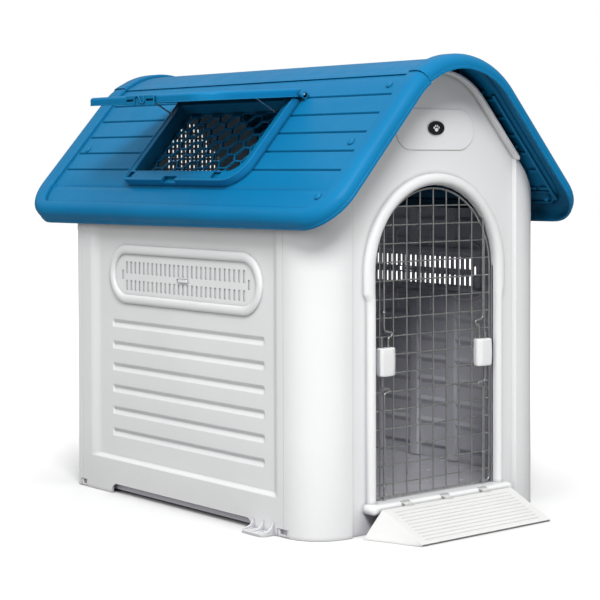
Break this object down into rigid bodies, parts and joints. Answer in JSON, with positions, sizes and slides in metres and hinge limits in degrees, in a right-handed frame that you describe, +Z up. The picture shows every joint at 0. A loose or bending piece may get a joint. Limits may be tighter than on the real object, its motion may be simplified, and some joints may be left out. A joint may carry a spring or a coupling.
{
  "type": "pet kennel",
  "caption": "Gabled plastic kennel with a barred wire door, slotted side vents, a roof hatch over a honeycomb skylight and a clip-on ramp.",
  "frame": {"origin": "on the ground, under the middle of the floor: halfway across the walls and halfway between the front and back faces", "axes": "+Z up, -Y out of the doorway, +X to the right seen from the front"},
  "size_m": [0.5383, 0.795, 0.6529],
  "materials": {
    "shell_white": "fine satin moulded polypropylene",
    "roof_blue": "satin moulded polypropylene",
    "floor_grey": "satin moulded polypropylene",
    "badge_black": "gloss printed badge",
    "wire_steel": "zinc-plated drawn wire"
  },
  "bodies": {
    "shell": {"floor_base": "floor_grey", "front_panel": "shell_white", "back_panel": "shell_white", "left_side_panel": "shell_white", "right_side_panel": "shell_white", "corner_clip_front_right": "shell_white", "corner_clip_front_left": "shell_white", "corner_clip_back_right": "shell_white", "corner_clip_back_left": "shell_white", "name_badge": "badge_black", "roof_left": "roof_blue", "roof_right": "roof_blue", "skylight_grille": "roof_blue", "roof_rivet_left_1": "roof_blue", "roof_rivet_left_2": "roof_blue", "roof_rivet_left_3": "roof_blue", "roof_rivet_left_4": "roof_blue", "roof_rivet_right_1": "roof_blue", "roof_rivet_right_2": "roof_blue", "roof_rivet_right_3": "roof_blue", "roof_rivet_right_4": "roof_blue", "hatch_pin_front": "wire_steel", "hatch_pin_back": "wire_steel"},
    "hatch": {"skylight_hatch": "roof_blue"},
    "catch": {"hatch_catch": "roof_blue"},
    "stay_front": {"hatch_stay_front": "wire_steel"},
    "stay_back": {"hatch_stay_back": "wire_steel"},
    "door": {"door_mesh": "wire_steel", "latch_block_left": "shell_white", "latch_block_right": "shell_white"},
    "upper_left_rod": {"rod_upper_left": "wire_steel"},
    "lower_left_rod": {"rod_lower_left": "wire_steel"},
    "upper_right_rod": {"rod_upper_right": "wire_steel"},
    "lower_right_rod": {"rod_lower_right": "wire_steel"},
    "ramp": {"ramp": "shell_white"},
    "left_shutter": {"left_vent_shutter": "shell_white"},
    "right_shutter": {"right_vent_shutter": "shell_white"}
  },
  "joints": [
    {"name": "hatch_hinge", "type": "hinge", "parent": "shell", "child": "hatch", "pos_m": [-0.10938, 0.022, 0.60102], "axis": [0, 1, 0], "range_deg": [-45.2, 0]},
    {"name": "stay_front_pivot", "type": "hinge", "parent": "hatch", "child": "stay_front", "pos_m": [-0.18549, -0.0975, 0.60097], "axis": [0, 1, 0], "range_deg": [-32, 0]},
    {"name": "stay_back_pivot", "type": "hinge", "parent": "hatch", "child": "stay_back", "pos_m": [-0.18549, 0.1415, 0.60097], "axis": [0, 1, 0], "range_deg": [-32, 0]},
    {"name": "catch_flex", "type": "hinge", "parent": "hatch", "child": "catch", "pos_m": [-0.28249, 0.029, 0.60031], "axis": [0, 1, 0], "range_deg": [0, 10]},
    {"name": "door_hinge", "type": "hinge", "parent": "shell", "child": "door", "pos_m": [0.096, -0.281, 0.23], "axis": [0, 0, 1], "range_deg": [0, 104]},
    {"name": "upper_left_slide", "type": "slide", "parent": "door", "child": "upper_left_rod", "axis": [0, 0, 1], "range_m": [0, 0.006]},
    {"name": "lower_left_slide", "type": "slide", "parent": "door", "child": "lower_left_rod", "axis": [0, 0, -1], "range_m": [0, 0.006]},
    {"name": "upper_right_slide", "type": "slide", "parent": "door", "child": "upper_right_rod", "axis": [0, 0, 1], "range_m": [-0.006, 0]},
    {"name": "lower_right_slide", "type": "slide", "parent": "door", "child": "lower_right_rod", "axis": [0, 0, -1], "range_m": [-0.006, 0]},
    {"name": "ramp_tilt", "type": "hinge", "parent": "shell", "child": "ramp", "pos_m": [0, -0.2992, 0.0395], "axis": [-1, 0, 0], "range_deg": [0, 6]},
    {"name": "left_vent_slide", "type": "slide", "parent": "shell", "child": "left_shutter", "axis": [0, 1, 0], "range_m": [0, 0.0055]},
    {"name": "right_vent_slide", "type": "slide", "parent": "shell", "child": "right_shutter", "axis": [0, 1, 0], "range_m": [0, 0.0055]}
  ],
  "couplings": [
    {"joint": "stay_front_pivot", "follows": "hatch_hinge", "ratio": 0.7},
    {"joint": "stay_back_pivot", "follows": "hatch_hinge", "ratio": 0.7},
    {"joint": "lower_left_slide", "follows": "upper_left_slide", "ratio": 1},
    {"joint": "lower_right_slide", "follows": "upper_right_slide", "ratio": 1}
  ]
}
